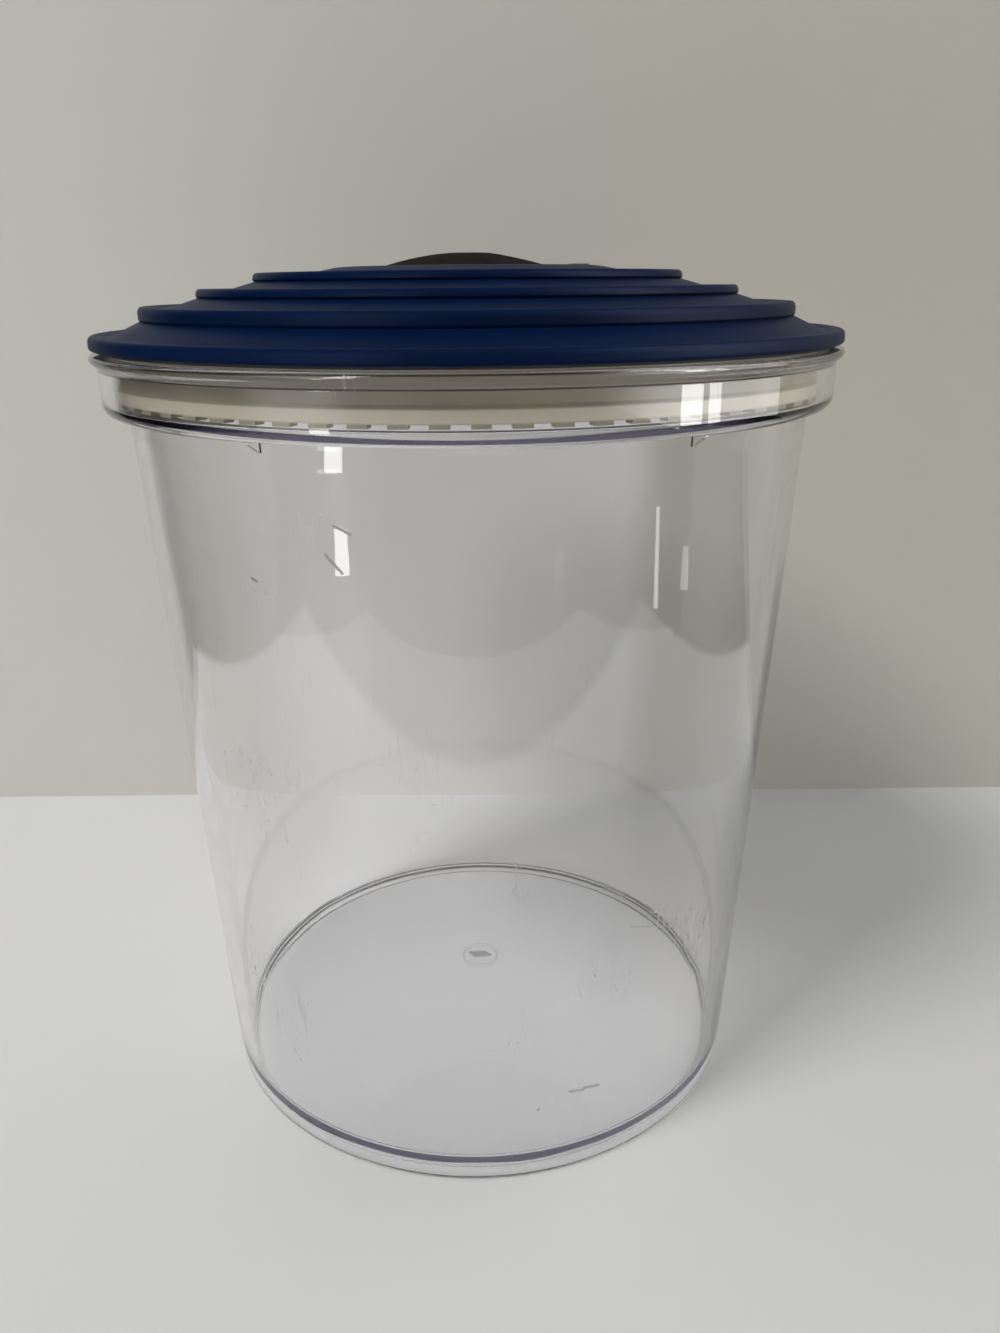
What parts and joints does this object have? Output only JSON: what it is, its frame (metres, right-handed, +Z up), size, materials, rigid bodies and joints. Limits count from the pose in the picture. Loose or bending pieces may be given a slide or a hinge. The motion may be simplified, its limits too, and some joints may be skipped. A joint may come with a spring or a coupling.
{
  "type": "airtight canister",
  "caption": "Tall round clear plastic canister with a stepped blue lid, a notched cream skirt in its collar and a low grey valve dial.",
  "frame": {"origin": "centre of the foot ring, on the surface that the canister stands on", "axes": "+Z up along the canister's axis; -Y is the side that the picture shows"},
  "size_m": [0.1606, 0.1606, 0.1938],
  "materials": {
    "clear_plastic": "clear moulded, polished, lightly scratched",
    "navy_plastic": "satin moulded",
    "cream_plastic": "satin moulded",
    "black_rubber": "matt",
    "warm_grey_plastic": "satin moulded",
    "dark_grey_plastic": "satin moulded",
    "white_plastic": "satin moulded",
    "spring_steel": "drawn wire"
  },
  "bodies": {
    "jar": {"canister_body": "clear_plastic"},
    "lid": {"lid_cover": "navy_plastic", "index_tab": "dark_grey_plastic", "lid_frame": "cream_plastic", "lid_gasket": "black_rubber", "valve_screen": "white_plastic", "valve_spring": "spring_steel"},
    "dial": {"control_dial": "warm_grey_plastic", "port_seal": "black_rubber", "stem_o_ring": "black_rubber", "retaining_clip": "spring_steel"},
    "valve": {"valve_plunger": "white_plastic", "valve_disc": "black_rubber"}
  },
  "joints": [
    {"name": "lid_lift", "type": "slide", "parent": "jar", "child": "lid", "axis": [0, 0, 1], "range_m": [0, 0.04]},
    {"name": "dial_turn", "type": "hinge", "parent": "lid", "child": "dial", "pos_m": [0, 0, 0.1897], "axis": [0, 0, 1], "range_deg": [0, 120]},
    {"name": "valve_lift", "type": "slide", "parent": "lid", "child": "valve", "axis": [0, 0, 1], "range_m": [0, 0.002], "deforming": ["valve_spring"]}
  ],
  "couplings": [
    {"joint": "valve_lift", "follows": "dial_turn", "m_per_rad": 0.00095492}
  ]
}
